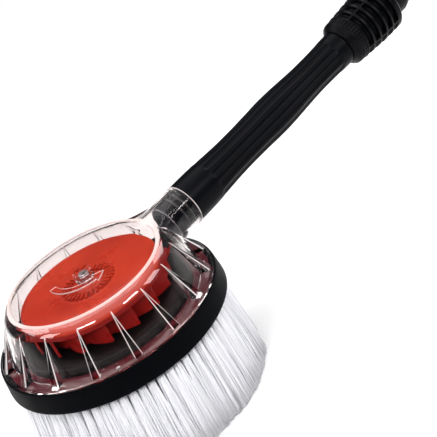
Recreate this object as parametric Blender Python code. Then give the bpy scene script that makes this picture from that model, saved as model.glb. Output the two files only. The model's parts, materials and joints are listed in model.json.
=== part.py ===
"""Rotary wash brush: a water-driven brush head on a straight handle.

A clear housing holds a turbine, a three-planet reduction gear and a spinning
brush carrier.  The handle plugs into the housing neck and ends in a bayonet
inlet with a turning collar.  Metres, +Z up, the brush stands on its bristle
tips at z = 0, the handle runs towards +X.
"""
import math

import bmesh
import bpy
from mathutils import Matrix, Vector

MM = 0.001

# ------------------------------------------------------------ dimensions, mm
HEAD_X = -133.73         # brush axis; centres the bounding box on x = 0
Z_SKIRT = 58.0           # underside of the bumper above the bristle tips
BUMPER_R = 80.0          # widest radius of the bumper
FLANGE_R = 77.0          # housing flange
TIP_R = 82.0             # bristle tips
GAP = 0.3                # clearance between neighbours that do not move
RUN = 0.1                # radial running clearance of turning parts

HANDLE_Z = 87.4          # height where the handle axis crosses the brush axis
HANDLE_TILT = 4.8        # degrees above the brush plane
NECK_BORE_R = 13.25
NECK_R = 15.3
NECK_END = 88.0          # end of the clear neck, along the handle axis
SPIGOT_START = 68.0
HANDLE_END = 255.7
COLLAR_START = 256.3
COLLAR_END = 307.0
INLET_END = 350.0

MODULE = 1.25            # reduction gear
SUN_TEETH = 12
PLANET_TEETH = 24
RING_TEETH = 60
BACKLASH = 0.40
PLANETS = 3
ORBIT_R = MODULE * (SUN_TEETH + PLANET_TEETH) / 2

SHAFT_R = 4.0
RIBS = 16                # gussets round the housing wall
RIB_PHASE = 4.0          # degrees from the handle direction
BLADES = 16              # turbine paddles
TUFTS = 72               # tufts in the outer row
FLUTES = 12              # finger grooves of the handle
COLLAR_RIBS = 4
COLLAR_STEPS = 36         # facets round the collar; one rib every nine
SLOTS = 5

# ------------------------------------------------------------------- scene
for ob in list(bpy.data.objects):
    bpy.data.objects.remove(ob, do_unlink=True)
for mesh in list(bpy.data.meshes):
    bpy.data.meshes.remove(mesh)
for mat in list(bpy.data.materials):
    bpy.data.materials.remove(mat)

COLOURS = {
    "clear_plastic": ((0.86, 0.84, 0.86), 0.05, 0.0),
    "bumper_rubber": ((0.012, 0.012, 0.014), 0.55, 0.0),
    "black_plastic": ((0.016, 0.016, 0.019), 0.38, 0.0),
    "collar_plastic": ((0.010, 0.010, 0.012), 0.42, 0.0),
    "turbine_red": ((0.72, 0.045, 0.010), 0.30, 0.0),
    "gear_white": ((0.80, 0.79, 0.74), 0.40, 0.0),
    "bristle_white": ((0.90, 0.89, 0.92), 0.60, 0.0),
    "steel": ((0.60, 0.60, 0.62), 0.28, 1.0),
    "seal_rubber": ((0.015, 0.015, 0.015), 0.60, 0.0),
}
MATS = {}


def material(slot):
    """One Principled material per slot."""
    if slot not in MATS:
        colour, rough, metal = COLOURS[slot]
        m = bpy.data.materials.new(slot)
        m.use_nodes = True
        b = m.node_tree.nodes["Principled BSDF"]
        b.inputs["Base Color"].default_value = (*colour, 1.0)
        b.inputs["Roughness"].default_value = rough
        b.inputs["Metallic"].default_value = metal
        if slot == "clear_plastic":
            b.inputs["Transmission Weight"].default_value = 0.95
            b.inputs["IOR"].default_value = 1.49
        m.diffuse_color = (*colour, 1.0)
        MATS[slot] = m
    return MATS[slot]


def finish(bm, name, slot, parent=None, origin=(0, 0, 0), frame=None, smooth=35.0):
    """Turn a bmesh given in millimetres into an object.

    frame places the shape; origin is the object's own origin (both in mm,
    head coordinates), so a turning piece sits on its joint axis.
    """
    if frame is not None:
        bmesh.ops.transform(bm, matrix=frame, verts=bm.verts)
    bmesh.ops.recalc_face_normals(bm, faces=bm.faces)
    if bm.calc_volume(signed=True) < 0:
        bmesh.ops.reverse_faces(bm, faces=bm.faces)
    o = Vector(origin)
    for v in bm.verts:
        v.co = (v.co - o) * MM
    me = bpy.data.meshes.new(name)
    bm.to_mesh(me)
    bm.free()
    me.shade_smooth()
    me.set_sharp_from_angle(angle=math.radians(smooth))
    ob = bpy.data.objects.new(name, me)
    bpy.context.scene.collection.objects.link(ob)
    me.materials.append(material(slot))
    ob.location = (o + Vector((HEAD_X, 0, 0))) * MM
    if parent is not None:
        ob.parent = parent
        ob.matrix_parent_inverse = Matrix.Identity(4)
        ob.location = ob.location - parent.location
    return ob


def empty(name, at, quat=None):
    """A guide on a joint axis."""
    e = bpy.data.objects.new(name, None)
    bpy.context.scene.collection.objects.link(e)
    e.location = (Vector(at) + Vector((HEAD_X, 0, 0))) * MM
    e.empty_display_size = 0.01
    return e


def revolve(profile, segs, radius=None, phase=0.0):
    """Closed ring or solid of revolution about Z.

    profile is a closed loop of (r, z); a point with r = 0 becomes a pole.
    radius(r, z, angle) may change r round the turn.
    """
    bm = bmesh.new()
    rings = []
    for r, z in profile:
        if r < 1e-6:
            rings.append([bm.verts.new((0, 0, z))])
            continue
        ring = []
        for k in range(segs):
            a = phase + 2 * math.pi * k / segs
            q = radius(r, z, a) if radius else r
            ring.append(bm.verts.new((q * math.cos(a), q * math.sin(a), z)))
        rings.append(ring)
    n = len(rings)
    for i in range(n):
        a, b = rings[i], rings[(i + 1) % n]
        if len(a) == 1 and len(b) == 1:
            continue
        for k in range(segs):
            j = (k + 1) % segs
            if len(a) == 1:
                bm.faces.new((a[0], b[j], b[k]))
            elif len(b) == 1:
                bm.faces.new((a[k], a[j], b[0]))
            else:
                bm.faces.new((a[k], a[j], b[j], b[k]))
    return bm


def prism(outline, z0, z1, hole=0.0, segs=24):
    """Extruded outline, with an optional round hole through it."""
    bm = bmesh.new()
    lo = [bm.verts.new((x, y, z0)) for x, y in outline]
    hi = [bm.verts.new((x, y, z1)) for x, y in outline]
    n = len(outline)
    for k in range(n):
        j = (k + 1) % n
        bm.faces.new((lo[k], lo[j], hi[j], hi[k]))
    if hole <= 0:
        bm.faces.new(lo[::-1])
        bm.faces.new(hi)
        return bm
    il, ih = [], []
    for k in range(segs):
        a = 2 * math.pi * k / segs
        il.append(bm.verts.new((hole * math.cos(a), hole * math.sin(a), z0)))
        ih.append(bm.verts.new((hole * math.cos(a), hole * math.sin(a), z1)))
    for k in range(segs):
        j = (k + 1) % segs
        bm.faces.new((il[j], il[k], ih[k], ih[j]))
    for outer, inner in ((lo, il), (hi, ih)):
        edges = []
        for loop in (outer, inner):
            m = len(loop)
            for k in range(m):
                edges.append(bm.edges.get((loop[k], loop[(k + 1) % m])))
        bmesh.ops.triangle_fill(bm, use_beauty=True, use_dissolve=False, edges=edges)
    return bm


def cylinder(r, z0, z1, segs=24, at=(0, 0)):
    bm = revolve([(0, z0), (r, z0), (r, z1), (0, z1)], segs)
    bmesh.ops.translate(bm, vec=(at[0], at[1], 0), verts=bm.verts)
    return bm


def tool(bm, name, frame=None):
    """A helper solid for a Boolean, hidden from the model."""
    ob = finish(bm, name, "steel", frame=frame)
    ob.hide_render = True
    ob.hide_viewport = False
    ob.display_type = "WIRE"
    return ob


def boolean(ob, other, op):
    m = ob.modifiers.new(op.lower() + "_" + other.name, "BOOLEAN")
    m.operation = op
    m.solver = "EXACT"
    m.object = other
    return m


def gear_outline(teeth, phase=0.0, internal=False, add=0.8, ded=1.1):
    """Straight-flank teeth close to 20 degree involutes, four points a tooth."""
    rp = MODULE * teeth / 2
    tan20 = math.tan(math.radians(20))
    half = (math.pi * MODULE / 2 - BACKLASH) / 2
    tip = rp + (-add if internal else add) * MODULE
    root = rp + (ded if internal else -ded) * MODULE
    pts = []
    for k in range(teeth):
        c = phase + 2 * math.pi * k / teeth
        h_tip = (half - add * MODULE * tan20) / tip
        h_root = (half + ded * MODULE * tan20 * 0.7) / root
        pts += [(root, c - h_root), (tip, c - h_tip), (tip, c + h_tip), (root, c + h_root)]
    return [(r * math.cos(a), r * math.sin(a)) for r, a in pts]


# Handle frame: local Z runs along the handle axis, local X stays near the top.
t = math.radians(HANDLE_TILT)
U = Vector((math.cos(t), 0, math.sin(t)))
W = Vector((-math.sin(t), 0, math.cos(t)))
V = U.cross(W)
HF = Matrix(((W.x, V.x, U.x, 0), (W.y, V.y, U.y, 0), (W.z, V.z, U.z, HANDLE_Z), (0, 0, 0, 1)))


def along(s):
    return Vector((0, 0, HANDLE_Z)) + U * s


# ------------------------------------------------------------ clear housing
outer = [(0, 108.6), (28, 107.9), (51.5, 106.5), (52.6, 107.1), (54.6, 107.0), (55.6, 105.9),
         (58.2, 103.8), (59.8, 100.8), (69.6, 74.4), (76.0, 73.9), (FLANGE_R, 73.2), (FLANGE_R, 71.6), (0, 71.6)]
housing = finish(revolve(outer, 40), "clear_housing", "clear_plastic", smooth=28)
neck = revolve([(0, 50.5), (13.0, 50.5), (15.6, 60), (16.0, 70), (NECK_R, 78), (NECK_R, 87.4), (NECK_R - 0.6, NECK_END), (0, NECK_END)], 24, phase=0.05)
neck_tool = tool(neck, "neck_solid", HF)
ribs = bmesh.new()
for k in range(RIBS):
    a = math.radians(RIB_PHASE) + 2 * math.pi * k / RIBS
    off = math.degrees(a) % 360
    if min(off, 360 - off) < 18:
        continue
    e, n = Vector((math.cos(a), math.sin(a), 0)), Vector((-math.sin(a), math.cos(a), 0))
    z = Vector((0, 0, 1))
    # wedge: thin at the shoulder, wide at the flange
    sect = [(57.0, 101.5, 0.45), (59.8, 102.4, 0.45), (75.6, 73.4, 3.0), (68.0, 73.4, 3.0)]
    vs = []
    for side in (-1, 1):
        vs.append([ribs.verts.new(e * r + z * h + n * (side * w)) for r, h, w in sect])
    lo, hi = vs
    ribs.faces.new(lo[::-1])
    ribs.faces.new(hi)
    for i in range(4):
        j = (i + 1) % 4
        ribs.faces.new((lo[i], lo[j], hi[j], hi[i]))
ribs_tool = tool(ribs, "rib_solids")
cavity = tool(revolve([(0, 106.4), (28, 105.7), (53.0, 104.2), (55.6, 102.6), (57.2, 100.0), (66.6, 74.6),
                       (66.6, 60.0), (0, 60.0)], 40, phase=0.02), "housing_cavity")
bore = tool(cylinder(NECK_BORE_R, 52.0, 95.0, 24), "neck_bore", HF)
shaft_boss = tool(cylinder(7.0, 100.3, 107.4, 16), "shaft_boss")
shaft_hole = tool(cylinder(SHAFT_R + 0.25, 95.0, 104.8, 16), "shaft_hole")
boolean(housing, neck_tool, "UNION")
boolean(housing, ribs_tool, "UNION")
boolean(housing, cavity, "DIFFERENCE")
boolean(housing, bore, "DIFFERENCE")
boolean(housing, shaft_boss, "UNION")
boolean(housing, shaft_hole, "DIFFERENCE")
SCREWS = [60, 150, 240, 330]
SCREW_R = 70.6
for i, deg in enumerate(SCREWS):
    a = math.radians(deg)
    c = (SCREW_R * math.cos(a), SCREW_R * math.sin(a))
    hole = tool(cylinder(1.7, 60.0, 73.0, 8, c), "screw_hole_%d" % (i + 1))
    boolean(housing, hole, "DIFFERENCE")

# ------------------------------------------------------------- rubber bumper
finish(revolve([(BUMPER_R, 58.0), (78.9, 70.0), (78.4, 72.6), (77.4, 73.4), (77.4, 71.3),
                (74.3, 71.3), (74.3, 69.4), (77.2, 69.4), (77.2, 58.0)], 48), "bumper_ring", "bumper_rubber")

# --------------------------------------------------------------- gear cover
cover = finish(revolve([(73.8, 68.8), (73.8, 71.3), (61.4, 71.3), (60.4, 76.5), (10.4, 76.5), (10.4, 73.4), (57.4, 73.4),
                        (57.4, 68.8)], 36), "gear_cover", "black_plastic")
PLANET_AT = []
for k in range(PLANETS):
    a = 2 * math.pi * k / PLANETS
    PLANET_AT.append((ORBIT_R * math.cos(a), ORBIT_R * math.sin(a)))
    boolean(cover, tool(cylinder(2.8, 70.0, 80.0, 12, PLANET_AT[-1]), "pin_hole_%d" % (k + 1)), "DIFFERENCE")
for i, deg in enumerate(SCREWS):
    a = math.radians(deg)
    c = (SCREW_R * math.cos(a), SCREW_R * math.sin(a))
    boolean(cover, tool(cylinder(1.9, 60.0, 80.0, 8, c), "cover_hole_%d" % (i + 1)), "DIFFERENCE")
    sc = revolve([(0, 66.9), (2.6, 66.9), (3.0, 67.4), (3.0, 68.5), (1.35, 68.5), (1.35, 72.4), (0, 72.4)], 10)
    bmesh.ops.translate(sc, vec=(c[0], c[1], 0), verts=sc.verts)
    sc_ob = finish(sc, "cover_screw_%d" % (i + 1), "steel", origin=(c[0], c[1], 68.5))
    slot = bmesh.new()
    bmesh.ops.create_cube(slot, size=1.0)
    bmesh.ops.scale(slot, vec=(3.6, 0.8, 1.6), verts=slot.verts)
    bmesh.ops.translate(slot, vec=(c[0], c[1], 66.9), verts=slot.verts)
    slot_ob = tool(slot, "screw_slot_%d" % (i + 1))
    boolean(sc_ob, slot_ob, "DIFFERENCE")

# --------------------------------------------------------- planets and pins
for k, c in enumerate(PLANET_AT):
    a = 2 * math.pi * k / PLANETS
    pin = revolve([(0, 63.4), (4.2, 63.4), (4.2, 64.2), (2.5, 64.2), (2.5, 76.2), (2.2, 76.5), (0, 76.5)], 12)
    bmesh.ops.translate(pin, vec=(c[0], c[1], 0), verts=pin.verts)
    finish(pin, "planet_pin_%d" % (k + 1), "steel", origin=(c[0], c[1], 70.0))
    axis = empty("planet_axis_%d" % (k + 1), (c[0], c[1], 0))
    g = prism(gear_outline(PLANET_TEETH, a + math.pi + math.pi / PLANET_TEETH), 64.6, 72.6, 2.5 + RUN, 12)
    bmesh.ops.translate(g, vec=(c[0], c[1], 0), verts=g.verts)
    finish(g, "planet_gear_%d" % (k + 1), "gear_white", parent=axis, origin=(c[0], c[1], 68.6))

# ------------------------------------------------------------ turbine wheel
turbine_axis = empty("turbine_axis", (0, 0, 0))
wheel = finish(revolve([(SHAFT_R + RUN, 98.2), (11.2, 98.2), (12.2, 96.9), (12.4, 98.6), (18.4, 98.6), (18.6, 96.6),
                        (46.5, 97.6), (50.4, 95.8), (50.6, 92.0), (48.8, 92.0), (48.2, 94.8), (42.0, 94.4),
                        (42.0, 79.6), (40.0, 79.6), (40.0, 94.2), (12.5, 93.8), (12.5, 78.2), (6.4, 77.2), (6.4, 73.2), (SHAFT_R + RUN, 73.2)], 30),
               "turbine_wheel", "turbine_red", parent=turbine_axis, origin=(0, 0, 88))
blades = bmesh.new()
for k in range(BLADES):
    a0 = 2 * math.pi * k / BLADES
    pts = []
    for i in range(3):
        f = i / 2.0
        r = 41.0 + (49.6 - 41.0) * f
        pts.append((r, a0 + math.radians(18) * f))
    lo, hi = [], []
    for side in (-0.7, 0.7):
        for r, a in (pts if side < 0 else pts[::-1]):
            x, y = r * math.cos(a) - side * math.sin(a), r * math.sin(a) + side * math.cos(a)
            lo.append(blades.verts.new((x, y, 78.6)))
            hi.append(blades.verts.new((x, y, 95.0)))
    blades.faces.new(lo[::-1])
    blades.faces.new(hi)
    for i in range(len(lo)):
        j = (i + 1) % len(lo)
        blades.faces.new((lo[i], lo[j], hi[j], hi[i]))
boolean(wheel, tool(blades, "blade_solids"), "UNION")
boolean(wheel, tool(prism(gear_outline(SUN_TEETH), 65.2, 73.4, SHAFT_R + RUN, 30), "sun_gear"), "UNION")

# ------------------------------------------------------- shaft and retainer
shaft = finish(revolve([(0, 104.5), (3.4, 104.5), (SHAFT_R, 103.9), (SHAFT_R, 60.3), (2.3, 60.3), (2.3, 70.0), (0, 70.0)], 16),
               "centre_shaft", "steel")
finish(revolve([(2.5, 58.2), (9.0, 58.2), (9.0, 59.6), (2.5, 59.6)], 20), "retaining_washer", "steel")
rs = finish(revolve([(0, 54.6), (4.2, 54.6), (5.0, 55.4), (5.0, 57.9), (2.0, 57.9), (2.0, 69.0), (0, 69.0)], 14),
            "retaining_screw", "steel")
hexa = [(2.4 * math.cos(math.radians(60 * i)), 2.4 * math.sin(math.radians(60 * i))) for i in range(6)]
boolean(rs, tool(prism(hexa, 53.5, 57.0), "hex_socket"), "DIFFERENCE")

# ------------------------------------------------------------ brush carrier
brush_axis = empty("brush_axis", (0, 0, 0))
carrier = finish(revolve([(SHAFT_R + RUN, 60.0), (76.4, 60.0), (76.4, 66.4), (74.2, 66.4), (73.4, 63.0), (10.0, 63.0),
                          (9.0, 64.4), (SHAFT_R + RUN, 64.4)], 40), "brush_carrier", "black_plastic", parent=brush_axis)
ring = gear_outline(RING_TEETH, 0.0, True)
ring_bm = bmesh.new()
R_OUT = 43.0
lo = [ring_bm.verts.new((x, y, 62.5)) for x, y in ring]
hi = [ring_bm.verts.new((x, y, 72.6)) for x, y in ring]
ol, oh = [], []
for k in range(RING_TEETH):
    a = 2 * math.pi * (k - 0.5) / RING_TEETH
    ol.append(ring_bm.verts.new((R_OUT * math.cos(a), R_OUT * math.sin(a), 62.5)))
    oh.append(ring_bm.verts.new((R_OUT * math.cos(a), R_OUT * math.sin(a), 72.6)))
n = len(lo)
for k in range(n):
    j = (k + 1) % n
    ring_bm.faces.new((lo[j], lo[k], hi[k], hi[j]))
for k in range(RING_TEETH):
    j = (k + 1) % RING_TEETH
    ring_bm.faces.new((ol[k], ol[j], oh[j], oh[k]))
    for inn, out in ((lo, ol), (hi, oh)):
        q = inn[4 * k:4 * k + 4]
        nxt = inn[(4 * k + 4) % n]
        ring_bm.faces.new((out[k], *q, out[j]))
        ring_bm.faces.new((out[j], q[3], nxt))
boolean(carrier, tool(ring_bm, "ring_gear"), "UNION")

# ------------------------------------------------------------------ bristles
def tufted(top_in, top_out, tip_in, tip_out, count, depth):
    """Ring of tufts: the rim is scalloped so each tuft stands out."""
    profile = [(tip_out, 0.0), (top_out, 59.7), (top_in, 59.7), (tip_in, 0.0)]

    def rim(r, z, a):
        k = round(a * count / math.pi)
        if k % 2 == 0:
            return r
        cut = depth * (0.35 + 0.65 * z / 59.7)
        return r - cut if r > (top_in + tip_out) / 2 - 1 else r + cut * 0.5
    return revolve(profile, count * 2, rim)


finish(tufted(69.0, 75.6, 72.5, TIP_R, TUFTS, 1.6), "outer_bristles", "bristle_white", parent=brush_axis)
finish(tufted(50.0, 66.6, 52.0, 70.4, 36, 1.4), "inner_bristles", "bristle_white", parent=brush_axis)

# -------------------------------------------------------------- handle tube
def handle_radius(s):
    """Outer radius of the grip, a gently waisted and swelling line."""
    table = [(88.3, 15.4), (105, 15.25), (117, 14.7), (128, 14.1), (140, 13.85), (152, 13.9), (165, 14.2), (180, 14.65),
             (195, 14.2), (208, 13.5), (221, 13.05), (234, 13.1), (253, 13.55), (HANDLE_END, 13.6)]
    for (s0, r0), (s1, r1) in zip(table, table[1:]):
        if s <= s1:
            f = (s - s0) / (s1 - s0)
            return r0 + (r1 - r0) * f
    return table[-1][1]


def flute(r, s, a):
    """Shallow finger flutes that fade out at both ends."""
    if r < 12.5 or s < 107.0 or s > 250.5:
        return r
    fade = min(1.0, (s - 107.0) / 9.0, (250.5 - s) / 7.0)
    return r - 0.75 * fade * (0.5 - 0.5 * math.cos(a * FLUTES))


stations = [88.3, 107, 116, 128, 141, 160, 180, 195, 208, 225, 243.5, 250.5, HANDLE_END]
outline = [(11.6, SPIGOT_START), (12.8, SPIGOT_START),
           (12.8, 77.0), (11.35, 77.0), (11.35, 79.0), (12.8, 79.0), (12.8, 82.0), (11.35, 82.0), (11.35, 84.0), (12.8, 84.0),
           (12.8, 88.3)]
outline += [(handle_radius(s), s) for s in stations]
outline += [(13.2, HANDLE_END + 0.001), (8.0, HANDLE_END), (8.0, 90.0), (9.6, 86.0), (9.6, 76.0), (11.6, 74.6)]
outline = [p for i, p in enumerate(outline) if i == 0 or p != outline[i - 1]]
outline = [p for p in outline if p != (13.2, HANDLE_END + 0.001)]
finish(revolve(outline, FLUTES * 3, flute), "handle_tube", "black_plastic", frame=HF)

for name, s in (("neck_oring_front", 78.0), ("neck_oring_rear", 83.0)):
    ring_pts = [(12.28 + 0.8 * math.cos(math.radians(a)), s + 0.8 * math.sin(math.radians(a))) for a in range(0, 360, 60)]
    finish(revolve(ring_pts, 20), name, "seal_rubber", frame=HF)

# jet nozzle: a disc in the spigot with an off-centre jet
nozzle = finish(revolve([(0, 76.0), (9.2, 76.0), (9.2, 80.0), (4.5, 80.0), (4.0, 84.5), (0, 84.5)], 20), "jet_nozzle",
                "black_plastic", frame=HF)
jet = cylinder(1.3, 70.0, 90.0, 8, (0.0, 2.0))
boolean(nozzle, tool(jet, "jet_bore", HF), "DIFFERENCE")

# -------------------------------------------------- inlet connector and seal
conn = revolve([(5.0, 242.0), (7.6, 242.0), (7.6, 256.1), (10.0, 256.1), (10.0, 307.6), (13.6, 307.6), (14.3, 308.4),
                (14.3, 319.6), (13.4, 321.6), (12.3, 322.4), (12.3, 328.6), (9.0, 329.4), (9.0, 340.6), (7.5, 340.6),
                (7.5, 343.0), (9.0, 343.0), (9.0, 349.2), (8.2, INLET_END), (5.0, INLET_END)], 24)
connector = finish(conn, "inlet_connector", "black_plastic", frame=HF)
lugs = bmesh.new()
bmesh.ops.create_cube(lugs, size=1.0)
bmesh.ops.scale(lugs, vec=(25.0, 5.0, 4.0), verts=lugs.verts)
bmesh.ops.translate(lugs, vec=(0, 0, 334.5), verts=lugs.verts)
boolean(connector, tool(lugs, "bayonet_lugs", HF), "UNION")
boolean(connector, tool(cylinder(5.0, 300.0, 345.0, 24), "lug_bore", HF), "DIFFERENCE")
seal_pts = [(8.75 + 0.95 * math.cos(math.radians(a)), 341.8 + 0.95 * math.sin(math.radians(a))) for a in range(0, 360, 60)]
finish(revolve(seal_pts, 20), "inlet_oring", "seal_rubber", frame=HF)
strainer = finish(revolve([(0, 344.0), (4.7, 344.0), (4.7, 348.6), (3.9, 348.6), (3.9, 345.0), (0, 345.0)], 14), "inlet_strainer",
                  "steel", frame=HF)
holes = bmesh.new()
for i, (hx, hy) in enumerate([(0, 0)] + [(2.3 * math.cos(math.radians(60 * j)), 2.3 * math.sin(math.radians(60 * j))) for j in range(6)]):
    cyl = cylinder(0.6, 342.0, 347.0, 5, (hx, hy))
    me = bpy.data.meshes.new("tmp")
    cyl.to_mesh(me)
    cyl.free()
    holes.from_mesh(me)
    bpy.data.meshes.remove(me)
boolean(strainer, tool(holes, "strainer_holes", HF), "DIFFERENCE")

# ---------------------------------------------------------- coupling collar
collar_axis = empty("collar_axis", along((COLLAR_START + COLLAR_END) / 2))
env = [(256.3, 13.6), (256.9, 14.2), (260.6, 18.0), (267.6, 18.5)]
first, pitch, width = 268.4, 6.9, 4.6
for i in range(SLOTS):
    s0 = first + i * pitch
    r0 = 18.6 + (20.0 - 18.6) * min(1.0, (s0 - 268.0) / 20.0)
    env += [(s0, r0), (s0 + 0.4, -16.0), (s0 + width, -16.0), (s0 + width + 0.4, r0 + 0.1)]
env += [(304.6, 20.0), (COLLAR_END, 17.4)]
SLOT_SPAN = (268.4, 304.6)


def collar_outer(s):
    return 18.6 + 1.4 * max(0.0, min(1.0, (s - 268.0) / 20.0))


def windows(r, s, a):
    """The annular slots stop at the longitudinal ribs."""
    if abs(r - 16.0) > 1e-6:
        return r
    k = int(round(a / (2 * math.pi) * COLLAR_STEPS))
    return collar_outer(s) - 0.15 if (k - 3) % (COLLAR_STEPS // COLLAR_RIBS) == 0 else r


outline = [(10.0 + RUN, COLLAR_START)] + [(abs(r), s) for s, r in env]
outline += [(10.0 + RUN, COLLAR_END), (10.0 + RUN, 301.0), (13.0, 299.0), (13.0, 263.0), (10.0 + RUN, 261.0)]
collar = revolve(outline, COLLAR_STEPS, windows)
collar_mid = along((COLLAR_START + COLLAR_END) / 2)
finish(collar, "coupling_collar", "collar_plastic", parent=collar_axis, origin=collar_mid, frame=HF)
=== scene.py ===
import json
import math

import bmesh
import bpy
import numpy as np
from mathutils import Matrix, Vector


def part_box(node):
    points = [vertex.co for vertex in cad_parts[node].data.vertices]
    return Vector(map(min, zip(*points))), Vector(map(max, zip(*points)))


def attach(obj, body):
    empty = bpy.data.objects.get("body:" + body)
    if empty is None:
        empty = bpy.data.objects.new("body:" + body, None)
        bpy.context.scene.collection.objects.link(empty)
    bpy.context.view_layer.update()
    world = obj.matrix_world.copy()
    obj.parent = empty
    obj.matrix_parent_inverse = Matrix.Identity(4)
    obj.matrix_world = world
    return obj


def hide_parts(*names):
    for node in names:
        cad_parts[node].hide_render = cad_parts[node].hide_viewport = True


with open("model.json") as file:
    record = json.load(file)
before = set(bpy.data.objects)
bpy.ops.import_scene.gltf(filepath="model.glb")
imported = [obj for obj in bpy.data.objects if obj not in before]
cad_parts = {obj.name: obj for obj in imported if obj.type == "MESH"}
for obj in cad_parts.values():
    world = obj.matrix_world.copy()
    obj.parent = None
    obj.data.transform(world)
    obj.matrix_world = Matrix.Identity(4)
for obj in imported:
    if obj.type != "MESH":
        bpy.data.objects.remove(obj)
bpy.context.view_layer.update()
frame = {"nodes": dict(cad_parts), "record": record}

MM = 0.001
TAU = 2 * math.pi

# ------------------------------------------------------------------ the frame
lo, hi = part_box("bumper_ring")
AXIS_X = (lo.x + hi.x) / 2 / MM          # brush axis, mm
Z_SKIRT = lo.z / MM                      # underside of the bumper, mm
JOINT = {j["name"]: j for j in frame["record"]["behaviour"]["joints"]}
U = Vector(JOINT["collar_turn"]["axis"]).normalized()
_p = Vector(JOINT["collar_turn"]["pos_m"]) / MM
HANDLE_Z = _p.z - (_p.x - AXIS_X) * U.z / U.x
Wv = Vector((-U.z, 0, U.x))
Vv = U.cross(Wv)
# handle frame: local z along the handle, local x up, local y sideways
HF = Matrix(((Wv.x, Vv.x, U.x, 0), (Wv.y, Vv.y, U.y, 0), (Wv.z, Vv.z, U.z, HANDLE_Z), (0, 0, 0, 1)))


# ------------------------------------------------------------------ mesh tools
def build(name, verts, faces, mats, frame_m=None, sharp=32.0, merge=0.0, index=None):
    """Object from millimetre vertices in head coordinates."""
    v = np.asarray(verts, float).reshape(-1, 3)
    if frame_m is not None:
        m = np.array(frame_m)
        v = v @ m[:3, :3].T + m[:3, 3]
    v = (v + [AXIS_X, 0, 0]) * MM
    me = bpy.data.meshes.new(name)
    me.from_pydata(v.tolist(), [], [list(map(int, f)) for f in faces])
    me.update()
    bm = bmesh.new()
    bm.from_mesh(me)
    if merge:
        bmesh.ops.remove_doubles(bm, verts=bm.verts, dist=merge * MM)
        bmesh.ops.dissolve_degenerate(bm, dist=1e-8, edges=bm.edges)
    bmesh.ops.recalc_face_normals(bm, faces=bm.faces)
    if bm.calc_volume(signed=True) < 0:
        bmesh.ops.reverse_faces(bm, faces=bm.faces)
    bm.to_mesh(me)
    bm.free()
    me.shade_smooth()
    me.set_sharp_from_angle(angle=math.radians(sharp))
    ob = bpy.data.objects.new(name, me)
    bpy.context.scene.collection.objects.link(ob)
    for m in mats if isinstance(mats, (list, tuple)) else [mats]:
        me.materials.append(m)
    return ob


def grid_faces(rows, cols, wrap_rows=True):
    i = np.arange(rows if wrap_rows else rows - 1)
    j = np.arange(cols)
    I, J = np.meshgrid(i, j, indexing="ij")
    a = I * cols + J
    b = I * cols + (J + 1) % cols
    c = ((I + 1) % rows) * cols + (J + 1) % cols
    d = ((I + 1) % rows) * cols + J
    return np.stack([a, b, c, d], -1).reshape(-1, 4)


def rounded(points, n=5):
    """Closed profile of (r, z) or (r, z, fillet radius); corners become arcs."""
    pts = [(p[0], p[1], p[2] if len(p) > 2 else 0.0) for p in points]
    out = []
    k = len(pts)
    for i in range(k):
        p = np.array(pts[i][:2], float)
        rad = pts[i][2]
        if rad <= 0:
            out.append(tuple(p))
            continue
        a = np.array(pts[i - 1][:2], float) - p
        b = np.array(pts[(i + 1) % k][:2], float) - p
        la, lb = np.linalg.norm(a), np.linalg.norm(b)
        a, b = a / la, b / lb
        cosang = float(np.clip(a @ b, -0.9999, 0.9999))
        half = math.acos(cosang) / 2
        d = min(rad / math.tan(half), 0.49 * la, 0.49 * lb)
        r = d * math.tan(half)
        p0, p1 = p + a * d, p + b * d
        c = p + (a + b) / np.linalg.norm(a + b) * (r / math.sin(half))
        t0 = math.atan2(*(p0 - c)[::-1])
        t1 = math.atan2(*(p1 - c)[::-1])
        dt = (t1 - t0 + math.pi) % TAU - math.pi
        for s in range(n + 1):
            t = t0 + dt * s / n
            out.append((c[0] + r * math.cos(t), c[1] + r * math.sin(t)))
    return out


def subdivide(profile, step, closed=True):
    """Splits the profile's long straight runs."""
    out = []
    k = len(profile)
    for i in range(k if closed else k - 1):
        a, b = np.array(profile[i]), np.array(profile[(i + 1) % k])
        m = max(1, int(np.linalg.norm(b - a) / step))
        for s in range(m):
            out.append(tuple(a + (b - a) * s / m))
    if not closed:
        out.append(tuple(profile[-1]))
    return out


def lathe(name, profile, segs, mats, frame_m=None, shape=None, sharp=32.0, merge=0.0005, index=None):
    """Solid or ring of revolution; shape(r, z, a) -> (r, z, a) arrays may deform it."""
    pr = np.array(profile, float)
    a = np.linspace(0, TAU, segs, endpoint=False)
    R, A = np.meshgrid(pr[:, 0], a, indexing="ij")
    Z = np.repeat(pr[:, 1][:, None], segs, 1)
    if shape is not None:
        R, Z, A = shape(R, Z, A)
    P = np.stack([R * np.cos(A), R * np.sin(A), Z], -1)
    return build(name, P, grid_faces(len(pr), segs), mats, frame_m, sharp, merge)


def prism_data(outline, z0, z1):
    n = len(outline)
    v = [(x, y, z0) for x, y in outline] + [(x, y, z1) for x, y in outline]
    f = [[k, (k + 1) % n, n + (k + 1) % n, n + k] for k in range(n)]
    f += [list(range(n))[::-1], list(range(n, 2 * n))]
    return v, f


class Bag:
    """Several closed shapes collected into one mesh."""

    def __init__(self):
        self.v, self.f, self.n = [], [], 0

    def add(self, v, f):
        v = np.asarray(v, float).reshape(-1, 3)
        self.v.append(v)
        self.f += [[i + self.n for i in face] for face in f]
        self.n += len(v)

    def make(self, name, mats, frame_m=None, sharp=32.0):
        return build(name, np.concatenate(self.v), self.f, mats, frame_m, sharp)


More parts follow.
